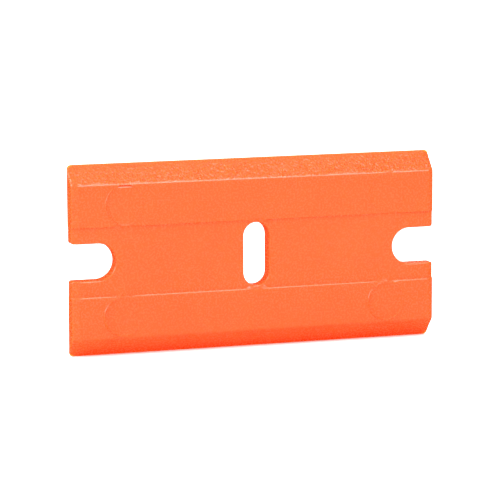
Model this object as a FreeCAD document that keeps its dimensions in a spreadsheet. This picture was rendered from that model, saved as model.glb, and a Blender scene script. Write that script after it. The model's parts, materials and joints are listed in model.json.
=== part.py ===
"""Double-edged moulded plastic scraper blade, in the 1.5 inch razor-blade format.

Frame, in millimetres: +X along the blade, +Z across it from edge to edge, and -Y out of its bevelled
front. The origin is the middle of the bounding box, on the axis of the centre slot.
"""
import FreeCAD, Part
import math
import os
import Sketcher

BLADE = "scraper_blade"

# Every driving dimension: its alias in the sheet, its value and what it measures.
DIMENSIONS = [
    ("blade_length", 38.1, "along both scraping edges"),
    ("blade_width", 19.05, "from edge to edge"),
    ("thickness", 1.9, "over the lands"),
    ("edge_flat", 0.08, "thickness left at each scraping edge"),
    ("bevel_width", 1.87, "of each bevel, seen from the front"),
    ("bevel_round", 0.5, "radius between a bevel and its land"),
    ("channel_width", 6.9, "of the sunk middle, on both faces"),
    ("front_sink", 0.15, "of the front channel below the lands"),
    ("back_sink", 0.15, "of the back channel below the back face"),
    ("step_run", 0.05, "of the sloped step down into a channel"),
    ("end_chamfer", 0.62, "of the chamfer at each end of the front, along the blade"),
    ("end_chamfer_depth", 0.33, "of the same chamfer at the end wall"),
    ("corner_round", 0.45, "radius of the four outer corners"),
    ("slot_width", 2.66, "of the centre slot"),
    ("slot_length", 6.34, "of the centre slot, over its round ends"),
    ("notch_width", 3.66, "of each end notch"),
    ("notch_depth", 4.48, "of each end notch, from the end of the blade"),
    ("mouth_round", 0.25, "radius at the corners of a notch's mouth"),
    ("rim_round", 0.12, "radius round the front and back rims of the slot and notches"),
    ("mark_diameter", 3.84, "of each ejector-pin mark"),
    ("mark_inset", 5.18, "from an end of the blade to a mark's centre"),
    ("mark_height", 5.47, "from the middle of the blade to a mark's centre"),
    ("mark_depth", 0.03, "of a mark, sunk into its land"),
    ("overrun", 1.0, "of a cutter past the blade"),
]

# The sketcher's own numbers for its origin, its axes and the points of a line or an arc.
ORIGIN_POINT = (-1, 1)
ACROSS_AXIS = -1
UPWARD_AXIS = -2
START = 1
END = 2
CENTRE = 3

TOUCH = 1e-4  # mm, how close a point lies to a plane that it counts as being on
LEAST_CUT = 0.1  # cubic mm, less than any feature that takes material off removes

HALF_LENGTH = "size.blade_length / 2"
HALF_WIDTH = "size.blade_width / 2"
FRONT = "-size.thickness / 2"
BACK = "size.thickness / 2"
FRONT_FLOOR = f"({FRONT} + size.front_sink)"
BACK_FLOOR = f"({BACK} - size.back_sink)"


def add_sheet(document):
    """The spreadsheet that holds every driving dimension under its alias."""
    sheet = document.addObject("Spreadsheet::Sheet", "size")
    for row, (alias, value, meaning) in enumerate(DIMENSIONS, start=1):
        sheet.set(f"A{row}", alias)
        sheet.set(f"B{row}", str(value))
        sheet.set(f"C{row}", meaning)
        sheet.setAlias(f"B{row}", alias)
    document.recompute()
    return sheet


def worked_out(document, formula):
    """The value of a formula in the sheet's aliases, as a plain number."""
    return float(document.getObject("size").evalExpression(formula))


def origin_plane(body, role):
    return next(item for item in body.Origin.OriginFeatures if item.Role == role)


def ends_of(edge):
    return [vertex.Point for vertex in edge.Vertexes]


def add_sketch(body, name, role):
    """A sketch on one of the body's own origin planes."""
    sketch = body.newObject("Sketcher::SketchObject", name)
    sketch.AttachmentSupport = [(origin_plane(body, role), "")]
    sketch.MapMode = "FlatFace"
    return sketch


def drive(sketch, kind, *places, formula):
    """A dimension in the sketch, bound to the sheet."""
    start = worked_out(sketch.Document, formula)
    index = sketch.addConstraint(Sketcher.Constraint(kind, *places, start))
    sketch.setExpression(f"Constraints[{index}]", formula)


def place(sketch, item, point, across, upward):
    """Holds a point of a line, arc or circle where two formulas say."""
    drive(sketch, "DistanceX", *ORIGIN_POINT, item, point, formula=across)
    drive(sketch, "DistanceY", *ORIGIN_POINT, item, point, formula=upward)


def draw_polygon(sketch, corners):
    """A closed polygon, each corner given by two formulas."""
    document = sketch.Document
    points = [FreeCAD.Vector(worked_out(document, a), worked_out(document, u), 0) for a, u in corners]
    first = sketch.GeometryCount
    for index, point in enumerate(points):
        sketch.addGeometry(Part.LineSegment(point, points[(index + 1) % len(points)]), False)
    for index, (across, upward) in enumerate(corners):
        line = first + index
        following = first + (index + 1) % len(corners)
        sketch.addConstraint(Sketcher.Constraint("Coincident", line, END, following, START))
        place(sketch, line, START, across, upward)


def add_line(sketch, start, end):
    return sketch.addGeometry(Part.LineSegment(FreeCAD.Vector(*start, 0), FreeCAD.Vector(*end, 0)), False)


def add_arc(sketch, across, upward, radius, turned):
    """Half a circle, from an angle in radians round anticlockwise."""
    circle = Part.Circle(FreeCAD.Vector(across, upward, 0), FreeCAD.Vector(0, 0, 1), radius)
    return sketch.addGeometry(Part.ArcOfCircle(circle, turned, turned + math.pi), False)


def cut(body, name, sketch, length=None):
    """A pocket cut both ways from its sketch's plane, through the blade or to a length in all."""
    pocket = body.newObject("PartDesign::Pocket", name)
    pocket.Profile = sketch
    pocket.Midplane = True
    if length is None:
        pocket.Type = "ThroughAll"
    else:
        pocket.setExpression("Length", length)
    return pocket


def round_edges(body, name, wanted, radius):
    """A fillet on the edges of the body's last feature that a test picks out."""
    body.Document.recompute()
    base = body.Tip
    names = [f"Edge{number}" for number, edge in enumerate(base.Shape.Edges, start=1) if wanted(edge)]
    if not names:
        raise RuntimeError(f"{name}: no edge to round")
    fillet = body.newObject("PartDesign::Fillet", name)
    fillet.Base = (base, names)
    fillet.setExpression("Radius", radius)


def pad_blank(body):
    """The blade's plain outline with its four corners rounded, as thick as the lands."""
    sketch = add_sketch(body, "outline", "XZ_Plane")
    corners = [(HALF_LENGTH, HALF_WIDTH), (f"-{HALF_LENGTH}", HALF_WIDTH)]
    corners += [(f"-{HALF_LENGTH}", f"-{HALF_WIDTH}"), (HALF_LENGTH, f"-{HALF_WIDTH}")]
    draw_polygon(sketch, corners)
    blank = body.newObject("PartDesign::Pad", "blank")
    blank.Profile = sketch
    blank.Midplane = True
    blank.setExpression("Length", "size.thickness")

    def runs_through(edge):
        first, last = ends_of(edge)
        return abs(first.x - last.x) < TOUCH and abs(first.z - last.z) < TOUCH

    round_edges(body, "corner_rounds", runs_through, "size.corner_round")


def cut_bevels(body):
    """The bevels along both edges, each one down to a thin flat at the back of the edge."""
    outside = f"{FRONT} - size.overrun"
    behind = f"{BACK} - size.edge_flat"
    sketch = add_sketch(body, "bevel_section", "YZ_Plane")
    for side in ("", "-"):
        edge = f"{side}{HALF_WIDTH}"
        beyond = f"{side}({HALF_WIDTH} + size.overrun)"
        land = f"{side}({HALF_WIDTH} - size.bevel_width)"
        corners = [(behind, edge), (FRONT, land), (outside, land), (outside, beyond), (behind, beyond)]
        draw_polygon(sketch, corners)
    cut(body, "bevels", sketch)
    half_land = worked_out(body.Document, f"{HALF_WIDTH} - size.bevel_width")

    def meets_land(edge):
        return all(point.y < 0 and abs(abs(point.z) - half_land) < TOUCH for point in ends_of(edge))

    round_edges(body, "bevel_rounds", meets_land, "size.bevel_round")


def cut_channel(body, name, surface, floor, outside):
    """A shallow channel along one face, with a sloped step up to the land on each side."""
    top = "size.channel_width / 2"
    bottom = "(size.channel_width / 2 - size.step_run)"
    sketch = add_sketch(body, f"{name}_section", "YZ_Plane")
    corners = [(surface, top), (floor, bottom), (floor, f"-{bottom}"), (surface, f"-{top}")]
    draw_polygon(sketch, corners + [(outside, f"-{top}"), (outside, top)])
    cut(body, name, sketch)


def cut_front_channel(body):
    cut_channel(body, "front_channel", FRONT, FRONT_FLOOR, f"{FRONT} - size.overrun")


def cut_back_channel(body):
    cut_channel(body, "back_channel", BACK, BACK_FLOOR, f"{BACK} + size.overrun")


def chamfer_ends(body, name, surface, width):
    """The chamfers along the front of both ends, over the part of the front that lies at one level."""
    behind = f"{surface} + size.end_chamfer_depth * (1 + size.overrun / size.end_chamfer)"
    sketch = add_sketch(body, f"{name}_outline", "XY_Plane")
    for side in ("", "-"):
        outside = f"{side}({HALF_LENGTH} + size.overrun)"
        inside = f"{side}({HALF_LENGTH} - size.end_chamfer)"
        draw_polygon(sketch, [(outside, surface), (outside, behind), (inside, surface)])
    cut(body, name, sketch, length=width)


def chamfer_lands(body):
    chamfer_ends(body, "land_chamfers", FRONT, "size.blade_width + size.overrun")


def chamfer_channel(body):
    chamfer_ends(body, "channel_chamfers", FRONT_FLOOR, "size.channel_width - 2 * size.step_run")


def cut_slot(body):
    """The slot in the middle, which runs across the blade and has round ends."""
    document = body.Document
    radius = worked_out(document, "size.slot_width / 2")
    reach = worked_out(document, "(size.slot_length - size.slot_width) / 2")
    sketch = add_sketch(body, "slot_outline", "XZ_Plane")
    upper = add_arc(sketch, 0, reach, radius, 0)
    left = add_line(sketch, (-radius, reach), (-radius, -reach))
    lower = add_arc(sketch, 0, -reach, radius, math.pi)
    right = add_line(sketch, (radius, -reach), (radius, reach))
    ring = [upper, left, lower, right]
    for item, following in zip(ring, ring[1:] + ring[:1]):
        sketch.addConstraint(Sketcher.Constraint("Tangent", item, END, following, START))
    sketch.addConstraint(Sketcher.Constraint("Equal", upper, lower))
    sketch.addConstraint(Sketcher.Constraint("PointOnObject", upper, CENTRE, UPWARD_AXIS))
    sketch.addConstraint(Sketcher.Constraint("Symmetric", upper, CENTRE, lower, CENTRE, *ORIGIN_POINT))
    drive(sketch, "Radius", upper, formula="size.slot_width / 2")
    between = "size.slot_length - size.slot_width"
    drive(sketch, "DistanceY", lower, CENTRE, upper, CENTRE, formula=between)
    cut(body, "centre_slot", sketch)


def cut_notches(body):
    """A round-ended notch in each end of the blade, with the corners of its mouth rounded."""
    document = body.Document
    inner_centre = f"{HALF_LENGTH} - size.notch_depth + size.notch_width / 2"
    beyond_end = f"{HALF_LENGTH} + size.overrun"
    radius = worked_out(document, "size.notch_width / 2")
    inner = worked_out(document, inner_centre)
    outer = worked_out(document, beyond_end)
    sketch = add_sketch(body, "notch_outline", "XZ_Plane")
    round_end = add_arc(sketch, inner, 0, radius, math.pi / 2)
    lower = add_line(sketch, (inner, -radius), (outer, -radius))
    closing = add_line(sketch, (outer, -radius), (outer, radius))
    upper = add_line(sketch, (outer, radius), (inner, radius))
    sketch.addConstraint(Sketcher.Constraint("Tangent", round_end, END, lower, START))
    sketch.addConstraint(Sketcher.Constraint("Tangent", upper, END, round_end, START))
    sketch.addConstraint(Sketcher.Constraint("Coincident", lower, END, closing, START))
    sketch.addConstraint(Sketcher.Constraint("Coincident", closing, END, upper, START))
    sketch.addConstraint(Sketcher.Constraint("Horizontal", lower))
    sketch.addConstraint(Sketcher.Constraint("Horizontal", upper))
    sketch.addConstraint(Sketcher.Constraint("Vertical", closing))
    sketch.addConstraint(Sketcher.Constraint("PointOnObject", round_end, CENTRE, ACROSS_AXIS))
    drive(sketch, "Radius", round_end, formula="size.notch_width / 2")
    drive(sketch, "DistanceX", *ORIGIN_POINT, round_end, CENTRE, formula=inner_centre)
    drive(sketch, "DistanceX", *ORIGIN_POINT, closing, START, formula=beyond_end)
    notch = cut(body, "end_notch", sketch)
    mirrored = body.newObject("PartDesign::Mirrored", "other_end_notch")
    mirrored.Originals = [notch]
    mirrored.MirrorPlane = (origin_plane(body, "YZ_Plane"), [""])
    body.Tip = mirrored
    half_length = worked_out(document, HALF_LENGTH)

    def at_mouth(edge):
        points = ends_of(edge)
        at_end = all(abs(abs(point.x) - half_length) < TOUCH for point in points)
        return at_end and all(abs(abs(point.z) - radius) < TOUCH for point in points)

    round_edges(body, "mouth_rounds", at_mouth, "size.mouth_round")


def round_rims(body):
    """The softened front and back rims of the slot and of both notches."""
    document = body.Document
    floors = [worked_out(document, FRONT_FLOOR), worked_out(document, BACK_FLOOR)]
    notch_side = worked_out(document, "size.notch_width / 2")
    slot_side = worked_out(document, "size.slot_width / 2")
    land_end = worked_out(document, f"{HALF_LENGTH} - size.end_chamfer")

    def on_rim(edge):
        points = ends_of(edge)
        on_a_floor = any(all(abs(point.y - floor) < TOUCH for point in points) for floor in floors)
        in_slot = all(abs(point.x) < slot_side + TOUCH for point in points)
        at_notch = all(abs(abs(point.z) - notch_side) < TOUCH for point in points)
        short_of_end = all(abs(point.x) < land_end + TOUCH for point in points)
        return on_a_floor and (in_slot or (at_notch and short_of_end))

    round_edges(body, "rim_rounds", on_rim, "size.rim_round")


def sink_marks(body):
    """The four round ejector-pin marks, two on each front land."""
    document = body.Document
    sketch = add_sketch(body, "mark_outlines", "XZ_Plane")
    sketch.setExpression("AttachmentOffset.Base.z", f"{BACK} - size.mark_depth")
    radius = worked_out(document, "size.mark_diameter / 2")
    for end in ("", "-"):
        for land in ("", "-"):
            across = f"{end}({HALF_LENGTH} - size.mark_inset)"
            upward = f"{land}size.mark_height"
            centre = FreeCAD.Vector(worked_out(document, across), worked_out(document, upward), 0)
            circle = sketch.addGeometry(Part.Circle(centre, FreeCAD.Vector(0, 0, 1), radius), False)
            place(sketch, circle, CENTRE, across, upward)
            drive(sketch, "Radius", circle, formula="size.mark_diameter / 2")
    pocket = body.newObject("PartDesign::Pocket", "ejector_marks")
    pocket.Profile = sketch
    pocket.Reversed = True
    pocket.setExpression("Length", "size.mark_depth + size.overrun")


def build_blade(document):
    """The blade's body: a blank, and every feature that takes material off it, in order."""
    body = document.addObject("PartDesign::Body", BLADE)
    body.Label = BLADE
    body.Placement = FreeCAD.Placement()
    pad_blank(body)
    document.recompute()
    features = [cut_slot, cut_notches, cut_bevels, cut_front_channel, cut_back_channel]
    features += [chamfer_lands, chamfer_channel, round_rims, sink_marks]
    for take_off in features:
        before = body.Shape.Volume
        take_off(body)
        document.recompute()
        after = body.Shape.Volume
        if after > before - LEAST_CUT:
            raise RuntimeError(f"{take_off.__name__} took nothing off the blade")
        print(f"{take_off.__name__}: {before:.2f} to {after:.2f} cubic mm")
    return body


def check(document, bodies):
    """Stops before anything is written if an object failed or a body isn't one sound solid."""
    for item in document.Objects:
        if "Invalid" in item.State or "Error" in item.State:
            raise RuntimeError(f"{item.Name}: {item.State}")
    for body in bodies:
        shape = body.Shape
        if shape.isNull() or not shape.isValid() or len(shape.Solids) != 1:
            raise RuntimeError(f"{body.Label}: not one valid solid")


def main():
    document = FreeCAD.newDocument("algae_scraper")
    add_sheet(document)
    bodies = [build_blade(document)]
    check(document, bodies)
    os.makedirs("parts", exist_ok=True)
    for body in bodies:
        body.Shape.exportStep(f"parts/{body.Label}.step")


main()
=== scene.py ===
"""Looks of the double-edged plastic scraper blade: fine skin, plastic, floor, light and camera.

Frame, in metres: +X along the blade, +Z across it from edge to edge, -Y out of its bevelled front. The
skin is drawn as a flat sheet in X and Z. Two height functions give the front's and the back's Y.
"""
import json
import math

import bpy
import numpy as np
from mathutils import Matrix, Vector, kdtree, noise
from mathutils.geometry import delaunay_2d_cdt


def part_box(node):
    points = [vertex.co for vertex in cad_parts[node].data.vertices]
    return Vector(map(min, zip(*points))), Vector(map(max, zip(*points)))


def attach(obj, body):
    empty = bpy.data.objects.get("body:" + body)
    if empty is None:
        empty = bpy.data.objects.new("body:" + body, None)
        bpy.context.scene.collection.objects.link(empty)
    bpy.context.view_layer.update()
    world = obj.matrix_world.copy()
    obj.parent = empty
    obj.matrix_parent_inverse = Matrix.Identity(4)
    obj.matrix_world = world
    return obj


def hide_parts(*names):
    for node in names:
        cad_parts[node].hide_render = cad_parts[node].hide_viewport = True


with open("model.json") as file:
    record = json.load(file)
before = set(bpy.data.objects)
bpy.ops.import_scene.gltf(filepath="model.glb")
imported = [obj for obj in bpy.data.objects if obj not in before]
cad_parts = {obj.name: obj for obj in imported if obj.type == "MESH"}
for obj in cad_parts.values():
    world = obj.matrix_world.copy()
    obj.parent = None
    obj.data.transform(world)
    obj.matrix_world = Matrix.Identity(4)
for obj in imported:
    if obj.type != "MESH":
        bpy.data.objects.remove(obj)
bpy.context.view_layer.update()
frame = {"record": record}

BLADE = "scraper_blade"
MM = 0.001

# The blade's outline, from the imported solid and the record's mounts.
LOW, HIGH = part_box(BLADE)
MOUNTS = {mount["name"]: mount for mount in frame["record"]["mounts"]}
HALF_LENGTH = HIGH.x
HALF_WIDTH = HIGH.z
FRONT = LOW.y
BACK = HIGH.y
SLOT_RADIUS = MOUNTS["centre_slot"]["dims"]["hole_r_mm"] * MM
SLOT_REACH = MOUNTS["centre_slot"]["dims"]["slot_length_mm"] * MM / 2 - SLOT_RADIUS
NOTCH_CENTRE = MOUNTS["right_notch"]["pos_m"][0]

# The rest of its shape, as in the CAD.
NOTCH_RADIUS = 1.83 * MM
EDGE_FLAT = 0.08 * MM
BEVEL_WIDTH = 1.87 * MM
BEVEL_ROUND = 0.5 * MM
CHANNEL_HALF = 3.45 * MM
FRONT_SINK = 0.15 * MM
BACK_SINK = 0.15 * MM
STEP_RUN = 0.05 * MM
END_CHAMFER = 0.62 * MM
END_CHAMFER_DEPTH = 0.33 * MM
CORNER_ROUND = 0.45 * MM
MOUTH_ROUND = 0.25 * MM
MARK_RADIUS = 1.92 * MM
MARK_ACROSS = HALF_LENGTH - 5.18 * MM
MARK_UP = 5.47 * MM
MARK_SINK = 0.03 * MM
LAND_EDGE = HALF_WIDTH - BEVEL_WIDTH
BEVEL_SLOPE = (BACK - EDGE_FLAT - FRONT) / BEVEL_WIDTH
END_SLOPE = END_CHAMFER_DEPTH / END_CHAMFER

# Roundings that the CAD lacks or has otherwise. A rim has its full rounding where the blade is thick
# enough, and a bend loses a share of its radius where it is at its sharpest. Nothing makes the blade
# thinner than the least thickness.
RIM_ROUND = 0.17 * MM
FULL_RIM_THICKNESS = 6 * RIM_ROUND
UPPER_STEP_ROUND = 0.03 * MM
LOWER_STEP_ROUND = 0.2 * MM
STEP_FOOT_ROUND = 0.03 * MM
FOLD_ROUND = 0.2 * MM
SHARPEST_LOSS = 0.92
LEAST_THICKNESS = EDGE_FLAT * 0.75

# The grain on the upper bevel: the height and size of its bumps, the plane through the noise that they
# are taken from, and how far in from the bend and from the edge they reach full height. How strong it
# is has a mean, rises towards the +X end and varies by patches.
GRAIN_HEIGHT = 0.13 * MM
GRAIN_SIZE = 0.16 * MM
GRAIN_SLICE = 0.43 * MM
GRAIN_FADE_AT_BEND = 0.1 * MM
GRAIN_FADE_AT_EDGE = 0.9 * MM
PATCH_SIZE = 0.9 * MM
PATCH_MEAN = 0.8
PATCH_RISE = 0.25
PATCH_SWING = 0.5

# The ejector-pin marks: where each one is, its radius and how clear it is. The first two come close to
# the upper bevel and the others to the channel, and the bend beside each mark is sharper than elsewhere.
# The end of the first pin has a bevel of its own, set lower.
MARKS = (
    (0.25 * MM - MARK_ACROSS, MARK_UP + 0.1 * MM, MARK_RADIUS + 0.08 * MM, 0.8),
    (MARK_ACROSS, MARK_UP, MARK_RADIUS, 0.3),
    (-0.08 * MM - MARK_ACROSS, -0.05 * MM - MARK_UP, MARK_RADIUS, 1.0),
    (-0.08 * MM + MARK_ACROSS, -0.05 * MM - MARK_UP, MARK_RADIUS, 1.0),
)
PIN_BEVEL_DROP = 0.34 * MM
PIN_BEVEL_ROUND = 0.25 * MM
PIN_BEVEL_SINK = 0.14 * MM
PIN_BEVEL_HALF = 0.8 * MM
PIN_BEVEL_REACH = 0.02 * MM

# How sharp the bend is beside each mark, from 0 to 1, over what half length, and how fast that fades.
SHARP_BENDS = (1.0, 0.45, 1.0, 0.6)
SHARP_HALF = 0.55 * MM
SHARP_FADE = 0.12 * MM

# The raised ring round each mark. It is highest on one side and fades out towards the channel.
BEAD_HALF_WIDTH = 0.08 * MM
BEAD_HEIGHT = 0.11 * MM
RING_STRONG_SIDE = math.radians(200)
RING_MEAN = 0.6
RING_SWING = 0.4
RING_FADE_FROM = CHANNEL_HALF + 0.08 * MM
RING_FADE = 0.25 * MM

# How far apart the points of the skin are.
FINE_SPACING = 0.05 * MM
EDGE_SPACING = 0.15 * MM
LAND_SPACING = 0.5 * MM
COARSE_SPACING = 0.6 * MM
PIN_BEVEL_SPACING = 0.033 * MM
NOTCH_STEPS = 28
NOTCH_WALL_POINTS = 9
MOUTH_STEPS = 10
CORNER_STEPS = 12
SLOT_STEPS = 24
SLOT_WALL_POINTS = 7
RING_STEPS = 120

# Where a bend, step, fold, rim or ring has its points, as shares of its size on each side of it.
BEND_REACH = 0.26 * MM
BEND_SHARES = (-1, -0.8, -0.6, -0.4, -0.2, 0, 0.2, 0.4, 0.6)
FOOT_SHARES = (-1.0, -0.5, -0.3, -0.1, 0.1, 0.4)
BROW_SHARES = (0, 0.12, 0.25, 0.4, 0.55, 0.75, 1.2)
FOLD_SHARES = (-0.8, -0.45, -0.3, -0.15, 0, 0.15, 0.3, 0.5, 1.0, 1.5)
RIM_SHARES = (0, 0.08, 0.28, 0.58, 1.0, 1.3)
RING_SHARES = (-1.5, -1, -0.66, -0.33, 0, 0.33, 0.66, 1, 1.5)

# Where the rows over the land end, and where those of the bevel and its closer columns begin. The bevel
# on the first pin has rows of its own, from this far below its bend to this far above it.
LAND_ROWS_END = LAND_EDGE - 0.35 * MM
BEVEL_ROWS_START = LAND_EDGE + 0.2 * MM
DENSE_FROM = LAND_EDGE - 0.3 * MM
PIN_BEND_BELOW = 0.13 * MM
PIN_BEND_ABOVE = 0.1 * MM

# The grid keeps clear of the rims and rings by this many times their size.
RIM_MARGIN = 1.5
RING_MARGIN = 1.6

# The narrow row of a wall beside a rim: its depth, and the largest share of a thin wall it may take.
WALL_ROW = 0.03 * MM
WALL_ROW_SHARE = 0.3

# A fold of the skin that turns by more than this is shaded as a sharp edge.
SHARP_ANGLE = math.radians(35)

# The plastic: its colour drifts between two oranges, and one noise varies its roughness and its bump.
DEEP_ORANGE = (0.93, 0.073, 0.0125, 1)
PALE_ORANGE = (0.93, 0.085, 0.0165, 1)
DRIFT_SCALE = 160.0
SATIN_SCALE = 5200.0
SMOOTHEST = 0.22
ROUGHEST = 0.32
BUMP_STRENGTH = 0.12
BUMP_DISTANCE = 0.00002
SUBSURFACE_WEIGHT = 0.45
SUBSURFACE_RADIUS = (1.0, 0.55, 0.1)
SUBSURFACE_SCALE = 0.001

# The camera, in degrees and metres, and its lens in millimetres.
CAMERA_AZIMUTH = -18.65
CAMERA_ELEVATION = 8.43
CAMERA_ROLL = -0.25
CAMERA_DISTANCE = 0.2859
CAMERA_AIM = Vector((-0.00009, 0.001, 0.00014))
CAMERA_LENS = 205.0

# The stage. Each light has a name, the direction it comes from, a width in metres and a power in watts.
FLOOR_HALF = 2.0
FLOOR_COLOUR = (0.85, 0.85, 0.85, 1)
WALL_LIGHT = 0.5
CEILING_LIGHT = 2.6
LIGHT_DISTANCE = 0.45
LIGHTS = (
    ("key", (0.32, -0.79, 0.55), 0.16, 0.9),
    ("spark", (0.2, -0.5, 0.84), 0.14, 0.45),
    ("side", (-0.9, -0.2, 0.6), 0.27, 1.4),
    ("glint", (-0.9, -0.37, 0.2), 0.08, 0.28),
    ("rim", (-0.85, 0.5, 0.35), 0.27, 0.5),
    ("back", (0.5, 0.7, 0.5), 0.27, 0.3),
)


# ---- Height of the front and back over the blade's flat outline --------------------------------

def rounded_bend(run, slope, radius):
    """Zero before a bend, a straight slope after it, and an arc of that radius between the two."""
    angle = math.atan(slope)
    before = radius * math.tan(angle / 2)
    after = before * math.cos(angle)
    inside = np.clip(run + before, 0, radius * math.sin(angle))
    arc = radius - np.sqrt(radius ** 2 - inside ** 2)
    return np.where(run < after, arc, slope * run)


def channel_depth(x, z, sink):
    """How far a face sinks into its channel. The lower step's brow is rounder, but not beside a mark."""
    slope = sink / STEP_RUN
    into = CHANNEL_HALF - np.abs(z)
    lower_round = LOWER_STEP_ROUND + (UPPER_STEP_ROUND - LOWER_STEP_ROUND) * bend_sharpness(x, 2)
    brow = np.where(z > 0, UPPER_STEP_ROUND, lower_round)
    return rounded_bend(into, slope, brow) - rounded_bend(into - STEP_RUN, slope, STEP_FOOT_ROUND)


def from_mark(x, z, mark):
    """The distance of each point from an ejector-pin mark's circle, below zero inside it."""
    across, up, radius, _ = mark
    return np.hypot(x - across, z - up) - radius


def mark_height(x, z):
    """The ejector-pin marks: a sunk disc each, inside a fine raised ring that is clearer on one side."""
    height = np.zeros(len(x))
    for mark in MARKS:
        across, up, _, clearness = mark
        away = from_mark(x, z, mark) / BEAD_HALF_WIDTH
        bead = np.where(np.abs(away) < 1, (1 + np.cos(math.pi * away)) / 2, 0)
        bead *= RING_MEAN + RING_SWING * np.cos(np.arctan2(z - up, x - across) - RING_STRONG_SIDE)
        bead *= np.clip((np.abs(z) - RING_FADE_FROM) / RING_FADE, 0, 1)
        inside = np.clip((1 - away) / 2, 0, 1)
        height += clearness * (BEAD_HEIGHT * bead - MARK_SINK * inside ** 2 * (3 - 2 * inside))
    return height


def bend_sharpness(x, first):
    """How sharp a bend is along the blade, from 0 to 1: sharp beside two marks, from the first given."""
    sharpness = np.zeros(len(x))
    for mark, most in zip(MARKS[first:first + 2], SHARP_BENDS[first:first + 2]):
        sharpness += most * np.clip((SHARP_HALF - np.abs(x - mark[0])) / SHARP_FADE, 0, 1)
    return sharpness


def pin_bevel(x, z):
    """How far the bevel on the end of the first pin sinks the top of its mark."""
    sink = rounded_bend(z - LAND_EDGE + PIN_BEVEL_DROP, BEVEL_SLOPE, PIN_BEVEL_ROUND)
    inside = np.clip((PIN_BEVEL_REACH - from_mark(x, z, MARKS[0])) / (BEAD_HALF_WIDTH / 2), 0, 1)
    beside = np.clip((PIN_BEVEL_HALF - np.abs(x - MARKS[0][0])) / SHARP_FADE, 0, 1)
    return np.minimum(sink, PIN_BEVEL_SINK) * inside * beside


def bevel_grain(x, z):
    """The rough upper bevel: small bumps and pits in patches, stronger towards the +X end."""
    fade = np.clip((z - LAND_EDGE) / GRAIN_FADE_AT_BEND, 0, 1)
    fade = fade * np.clip((HALF_WIDTH - z) / GRAIN_FADE_AT_EDGE, 0, 1)
    grain = np.zeros(len(x))
    for index in np.nonzero(fade > 0)[0]:
        place = Vector((x[index], GRAIN_SLICE, z[index]))
        bump = noise.noise(place / GRAIN_SIZE)
        patches = PATCH_MEAN + PATCH_RISE * x[index] / HALF_LENGTH
        patches += PATCH_SWING * noise.noise(place / PATCH_SIZE)
        grain[index] = GRAIN_HEIGHT * fade[index] * max(patches, 0) * bump
    return grain


def rim_drop(z, from_rim):
    """How far a face falls away beside a rim, along a quarter circle, less where the blade is thin."""
    inside = np.clip(RIM_ROUND - from_rim, 0, RIM_ROUND)
    drop = RIM_ROUND - np.sqrt(RIM_ROUND ** 2 - inside ** 2)
    thickness = BACK - FRONT - np.clip(np.abs(z) - LAND_EDGE, 0, None) * BEVEL_SLOPE
    return drop * np.clip(thickness / FULL_RIM_THICKNESS, 0, 1)


def back_height(x, z, from_rim):
    """The back's Y."""
    return BACK - channel_depth(x, z, BACK_SINK) - rim_drop(z, from_rim)


def front_height(x, z, from_rim):
    """The front's Y, with every detail of that face."""
    across = np.abs(z)
    along = np.abs(x)
    bend_round = BEVEL_ROUND * (1 - SHARPEST_LOSS * bend_sharpness(x, 0) * (z > 0))
    height = FRONT + rounded_bend(across - LAND_EDGE, BEVEL_SLOPE, bend_round)
    height = height + pin_bevel(x, z) + channel_depth(x, z, FRONT_SINK)
    height = height + rounded_bend(along - HALF_LENGTH + END_CHAMFER, END_SLOPE, FOLD_ROUND)
    height = height - mark_height(x, z) - bevel_grain(x, z) + rim_drop(z, from_rim)
    return np.minimum(height, BACK - LEAST_THICKNESS)


# ---- The flat sheet ---------------------------------------------------------------------------

def arc(centre, radius, first, last, steps):
    """Points on an arc, in degrees, each with the direction away from the centre."""
    turns = [math.radians(first + (last - first) * step / steps) for step in range(steps + 1)]
    away = [Vector((math.cos(turn), math.sin(turn))) for turn in turns]
    return [(Vector(centre) + radius * direction, direction) for direction in away]


def straight(fixed, fixed_value, values, inward):
    """Points along a line of constant x or z, each with the direction into the plastic."""
    points = []
    for value in values:
        place = (fixed_value, value) if fixed == "x" else (value, fixed_value)
        points.append((Vector(place), Vector(inward)))
    return points


def turned(points):
    """The same points, each with its direction reversed."""
    return [(place, -direction) for place, direction in points]


def outline_quarter(rows, columns):
    """The outline from the +X notch's inmost point round to the middle of the upper edge."""
    notch = arc((NOTCH_CENTRE, 0), NOTCH_RADIUS, 180, 90, NOTCH_STEPS)
    wall_end = HALF_LENGTH - MOUTH_ROUND
    wall_places = np.linspace(NOTCH_CENTRE, wall_end, NOTCH_WALL_POINTS)[1:]
    wall = straight("z", NOTCH_RADIUS, wall_places, (0, 1))
    mouth = turned(arc((wall_end, NOTCH_RADIUS + MOUTH_ROUND), MOUTH_ROUND, -90, 0, MOUTH_STEPS)[1:])
    corner_start = HALF_WIDTH - CORNER_ROUND
    end_rows = [row for row in rows if NOTCH_RADIUS + MOUTH_ROUND < row < corner_start]
    end = straight("x", HALF_LENGTH, end_rows, (-1, 0))
    corner_centre = (HALF_LENGTH - CORNER_ROUND, corner_start)
    corner = turned(arc(corner_centre, CORNER_ROUND, 0, 90, CORNER_STEPS))
    edge_columns = [column for column in columns if 0 < column < HALF_LENGTH - CORNER_ROUND]
    edge = straight("z", HALF_WIDTH, sorted(edge_columns, reverse=True) + [0.0], (0, -1))
    return notch + wall + mouth + end + corner + edge


def slot_quarter():
    """The slot's outline from the middle of its +X wall round to its top."""
    wall = straight("x", SLOT_RADIUS, np.linspace(0, SLOT_REACH, SLOT_WALL_POINTS)[:-1], (1, 0))
    return wall + arc((0, SLOT_REACH), SLOT_RADIUS, 0, 90, SLOT_STEPS)


def whole_loop(quarter):
    """A closed loop from one quarter of it, mirrored in both axes."""
    loop = []
    for across, up in ((1, 1), (-1, 1), (-1, -1), (1, -1)):
        part = [(Vector((p.x * across, p.y * up)), Vector((n.x * across, n.y * up))) for p, n in quarter]
        if across * up < 0:
            part.reverse()
        loop += part[:-1]
    return loop


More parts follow.
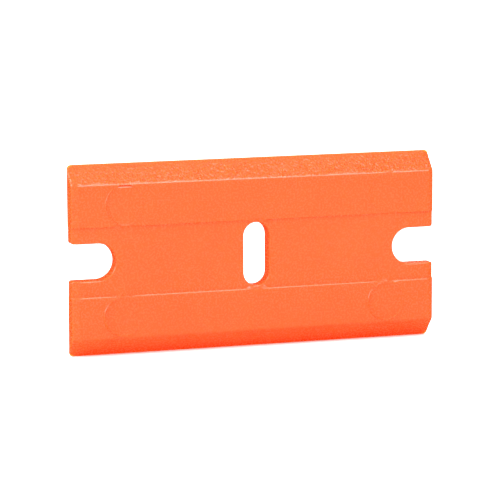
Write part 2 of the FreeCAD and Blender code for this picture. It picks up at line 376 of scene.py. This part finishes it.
def spaced(first, last, spacing):
    """Places from the first to the last, evenly spaced, at about that spacing."""
    count = max(1, round((last - first) / spacing))
    return list(np.linspace(first, last, count + 1))


def both_signs(values):
    """The values and their mirror images, in order, each one once."""
    return sorted({round(sign * float(value), 9) for value in values for sign in (1, -1)})


def profile_rows(bevel_spacing):
    """Heights across one half of the blade where the sheet needs a row, close together at each bend."""
    floor_edge = CHANNEL_HALF - STEP_RUN
    rows = spaced(0, floor_edge - 4 * STEP_RUN, COARSE_SPACING)
    rows += [floor_edge + share * STEP_RUN for share in FOOT_SHARES]
    rows += [CHANNEL_HALF + share * LOWER_STEP_ROUND for share in BROW_SHARES]
    rows += spaced(CHANNEL_HALF + 2 * LOWER_STEP_ROUND, LAND_ROWS_END, LAND_SPACING)
    rows += [LAND_EDGE + share * BEND_REACH for share in BEND_SHARES]
    rows += spaced(BEVEL_ROWS_START, HALF_WIDTH, bevel_spacing)
    return rows


def columns_along(spacing):
    """Places along one half of the blade for columns, closer together where the end chamfer folds."""
    fold = HALF_LENGTH - END_CHAMFER
    return spaced(0, fold - FOLD_ROUND, spacing) + [fold + share * FOLD_ROUND for share in FOLD_SHARES]


def ring_points(centre, radius, count):
    """That many points, evenly spaced round a circle."""
    turns = [2 * math.pi * step / count for step in range(count)]
    return [centre + radius * Vector((math.cos(turn), math.sin(turn))) for turn in turns]


def mark_rings():
    """Closed rings of points that carry the shape of the four ejector-pin marks."""
    rings = []
    for across, up, radius, _ in MARKS:
        for share in RING_SHARES:
            rings.append(ring_points(Vector((across, up)), radius + share * BEAD_HALF_WIDTH, RING_STEPS))
    return rings


def pin_bevel_grid():
    """Closely spaced points where the bevel on the end of the first pin bends."""
    middle = MARKS[0][0]
    columns = spaced(middle - PIN_BEVEL_HALF, middle + PIN_BEVEL_HALF, FINE_SPACING)
    bend = LAND_EDGE - PIN_BEVEL_DROP
    rows = spaced(bend - PIN_BEND_BELOW, bend + PIN_BEND_ABOVE, PIN_BEVEL_SPACING)
    return [(column, row) for row in rows for column in columns]


def inside_outline(x, z):
    """Whether each point lies on the plastic: in the outline, and not in the slot or a notch."""
    along = np.abs(x)
    across = np.abs(z)
    in_rectangle = (along < HALF_LENGTH) & (across < HALF_WIDTH)
    in_slot = (along < SLOT_RADIUS) & (across < SLOT_REACH)
    in_slot |= np.hypot(x, across - SLOT_REACH) < SLOT_RADIUS
    in_notch = (along > NOTCH_CENTRE) & (across < NOTCH_RADIUS)
    in_notch |= np.hypot(along - NOTCH_CENTRE, z) < NOTCH_RADIUS
    return in_rectangle & ~in_slot & ~in_notch


def rim_distance(loops, points):
    """How far each point lies from the nearest point of a rim."""
    rim = [place for loop in loops for place, _ in loop]
    tree = kdtree.KDTree(len(rim))
    for index, place in enumerate(rim):
        tree.insert((place.x, place.y, 0), index)
    tree.balance()
    return np.array([tree.find((point[0], point[1], 0))[2] for point in points])


def build_sheet(loops, rows, dense_spacing, with_marks):
    """Triangulates the outline. Returns its points, its triangles and where each rim point went."""
    points = []
    edges = []

    def add_ring(ring):
        first = len(points)
        points.extend(ring)
        edges.extend((first + i, first + (i + 1) % len(ring)) for i in range(len(ring)))

    for share in RIM_SHARES:
        for loop in loops:
            add_ring([place + inward * share * RIM_ROUND for place, inward in loop])
    rim_count = sum(len(loop) for loop in loops)
    for ring in mark_rings() if with_marks else []:
        add_ring(ring)
    grid = []
    for row in both_signs(rows):
        spacing = dense_spacing if row > DENSE_FROM else COARSE_SPACING
        grid += [(column, row) for column in both_signs(columns_along(spacing))]
    if with_marks:
        grid += pin_bevel_grid()
    grid = np.array(grid)
    keep = inside_outline(grid[:, 0], grid[:, 1])
    keep &= rim_distance(loops, grid) > RIM_ROUND * RIM_MARGIN
    if with_marks:
        for mark in MARKS:
            keep &= np.abs(from_mark(grid[:, 0], grid[:, 1], mark)) > BEAD_HALF_WIDTH * RING_MARGIN
    points.extend(Vector(place) for place in grid[keep])
    in_mm = [place / MM for place in points]
    found, _, faces, origins, _, _ = delaunay_2d_cdt(in_mm, edges, [], 0, 1e-6)
    flat = np.array([(place.x, place.y) for place in found]) * MM
    middles = flat[np.array(faces)].mean(axis=1)
    kept = inside_outline(middles[:, 0], middles[:, 1])
    triangles = [face for face, good in zip(faces, kept) if good]
    went = {}
    for index, sources in enumerate(origins):
        went.update((origin, index) for origin in sources if origin < rim_count)
    return flat, triangles, went


def add_walls(vertices, faces, loops, front_side, back_side):
    """The walls between the front's rims and the back's, with a narrow row beside each rim."""
    start = 0
    for loop, way in zip(loops, (1, -1)):
        columns = []
        for origin in range(start, start + len(loop)):
            front, back = front_side[origin], back_side[origin]
            near, far = Vector(vertices[front]), Vector(vertices[back])
            beside = min(WALL_ROW / (far - near).length, WALL_ROW_SHARE)
            middle = len(vertices)
            vertices.extend([tuple(near.lerp(far, beside)), tuple(far.lerp(near, beside))])
            columns.append((front, middle, middle + 1, back))
        for one, other in zip(columns, columns[1:] + columns[:1]):
            for step in range(3):
                face = (one[step], one[step + 1], other[step + 1], other[step])
                faces.append(face[::way])
        start += len(loop)


def build_skin():
    """The blade's closed skin: a front sheet, a back sheet and the walls between their rims."""
    front_rows = profile_rows(FINE_SPACING)
    back_rows = profile_rows(COARSE_SPACING)
    outline = outline_quarter(front_rows, columns_along(EDGE_SPACING))
    loops = [whole_loop(outline), whole_loop(slot_quarter())]
    vertices = []
    faces = []
    sides = []
    for height, rows, spacing, marks in (
        (front_height, front_rows, FINE_SPACING, True),
        (back_height, back_rows, COARSE_SPACING, False),
    ):
        flat, triangles, went = build_sheet(loops, rows, spacing, marks)
        depth = height(flat[:, 0], flat[:, 1], rim_distance(loops, flat))
        first = len(vertices)
        vertices += [(place[0], y, place[1]) for place, y in zip(flat, depth)]
        for a, b, c in triangles:
            order = (a, b, c) if height is front_height else (c, b, a)
            faces.append(tuple(first + index for index in order))
        sides.append({origin: first + index for origin, index in went.items()})
    add_walls(vertices, faces, loops, *sides)
    mesh = bpy.data.meshes.new("blade_skin")
    mesh.from_pydata(vertices, [], faces)
    mesh.validate()
    mesh.shade_smooth()
    mesh.set_sharp_from_angle(angle=SHARP_ANGLE)
    return mesh


# ---- The plastic ------------------------------------------------------------------------------

def add_node(tree, kind, inputs=None, **settings):
    """A new shader node. Each of its inputs is a value, or another node's output to link it to."""
    node = tree.nodes.new(kind)
    for name, value in settings.items():
        setattr(node, name, value)
    for name, value in (inputs or {}).items():
        if isinstance(value, bpy.types.NodeSocket):
            tree.links.new(value, node.inputs[name])
        else:
            node.inputs[name].default_value = value
    return node


def orange_plastic():
    """Slightly translucent orange plastic with a satin moulded surface."""
    material = bpy.data.materials.new("orange_plastic")
    material.use_nodes = True
    tree = material.node_tree
    shader = tree.nodes["Principled BSDF"]
    place = add_node(tree, "ShaderNodeTexCoord").outputs["Object"]
    flow = add_node(tree, "ShaderNodeTexNoise", {"Vector": place, "Scale": DRIFT_SCALE, "Detail": 3.0})
    colour = add_node(tree, "ShaderNodeMix", {"Factor": flow.outputs["Fac"]}, data_type="RGBA")
    colour.inputs["A"].default_value = DEEP_ORANGE
    colour.inputs["B"].default_value = PALE_ORANGE
    tree.links.new(colour.outputs["Result"], shader.inputs["Base Color"])
    satin = add_node(tree, "ShaderNodeTexNoise", {"Vector": place, "Scale": SATIN_SCALE, "Detail": 4.0})
    texture = satin.outputs["Fac"]
    gloss_inputs = {"Value": texture, "To Min": SMOOTHEST, "To Max": ROUGHEST}
    gloss = add_node(tree, "ShaderNodeMapRange", gloss_inputs)
    tree.links.new(gloss.outputs["Result"], shader.inputs["Roughness"])
    bump_inputs = {"Height": texture, "Strength": BUMP_STRENGTH, "Distance": BUMP_DISTANCE}
    bump = add_node(tree, "ShaderNodeBump", bump_inputs)
    tree.links.new(bump.outputs["Normal"], shader.inputs["Normal"])
    shader.inputs["Subsurface Weight"].default_value = SUBSURFACE_WEIGHT
    shader.inputs["Subsurface Radius"].default_value = SUBSURFACE_RADIUS
    shader.inputs["Subsurface Scale"].default_value = SUBSURFACE_SCALE
    shader.inputs["Specular IOR Level"].default_value = 0.5
    return material


# ---- The stage --------------------------------------------------------------------------------

def add_floor():
    """A plain pale floor at the blade's lower edge, left out of the gloss on the plastic."""
    mesh = bpy.data.meshes.new("floor")
    corners = [(x * FLOOR_HALF, y * FLOOR_HALF, LOW.z) for x, y in ((-1, -1), (1, -1), (1, 1), (-1, 1))]
    mesh.from_pydata(corners, [], [(0, 1, 2, 3)])
    floor = bpy.data.objects.new("floor", mesh)
    floor.visible_glossy = False
    material = bpy.data.materials.new("pale_floor")
    material.use_nodes = True
    shader = material.node_tree.nodes["Principled BSDF"]
    shader.inputs["Base Color"].default_value = FLOOR_COLOUR
    shader.inputs["Roughness"].default_value = 0.9
    shader.inputs["Specular IOR Level"].default_value = 0.1
    mesh.materials.append(material)
    bpy.context.scene.collection.objects.link(floor)


def add_area_light(name, direction, size, watts):
    """A round soft light that faces the blade."""
    light = bpy.data.lights.new(name, "AREA")
    light.shape = "DISK"
    light.size = size
    light.energy = watts
    lamp = bpy.data.objects.new(name, light)
    lamp.location = Vector(direction).normalized() * LIGHT_DISTANCE
    lamp.rotation_mode = "QUATERNION"
    lamp.rotation_quaternion = Vector(direction).to_track_quat("Z", "Y")
    bpy.context.scene.collection.objects.link(lamp)


def add_world():
    """A white room, brighter overhead, left out of the gloss on the plastic."""
    world = bpy.data.worlds.new("studio")
    world.use_nodes = True
    tree = world.node_tree
    direction = add_node(tree, "ShaderNodeTexCoord").outputs["Generated"]
    height = add_node(tree, "ShaderNodeSeparateXYZ", {"Vector": direction}).outputs["Z"]
    light_inputs = {"Value": height, "To Min": WALL_LIGHT, "To Max": CEILING_LIGHT}
    light = add_node(tree, "ShaderNodeMapRange", light_inputs)
    background = tree.nodes["Background"]
    background.inputs["Color"].default_value = (1, 1, 1, 1)
    tree.links.new(light.outputs["Result"], background.inputs["Strength"])
    world.cycles_visibility.glossy = False
    bpy.context.scene.world = world


def add_camera():
    """The camera, left of the blade's front and a little above it."""
    azimuth = math.radians(CAMERA_AZIMUTH)
    elevation = math.radians(CAMERA_ELEVATION)
    level = math.cos(elevation)
    back = Vector((math.sin(azimuth) * level, -math.cos(azimuth) * level, math.sin(elevation)))
    lens = bpy.data.cameras.new("camera")
    lens.lens = CAMERA_LENS
    lens.clip_start = 0.01
    camera = bpy.data.objects.new("camera", lens)
    roll = Matrix.Rotation(math.radians(CAMERA_ROLL), 3, "Z")
    turn = back.to_track_quat("Z", "Y").to_matrix() @ roll
    camera.matrix_world = Matrix.Translation(CAMERA_AIM + back * CAMERA_DISTANCE) @ turn.to_4x4()
    bpy.context.scene.collection.objects.link(camera)
    bpy.context.scene.camera = camera


add_camera()
skin = bpy.data.objects.new("blade_skin", build_skin())
skin.data.materials.append(orange_plastic())
bpy.context.scene.collection.objects.link(skin)
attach(skin, "root")
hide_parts(BLADE)
add_floor()
for light in LIGHTS:
    add_area_light(*light)
add_world()
bpy.context.scene.view_settings.view_transform = "Standard"
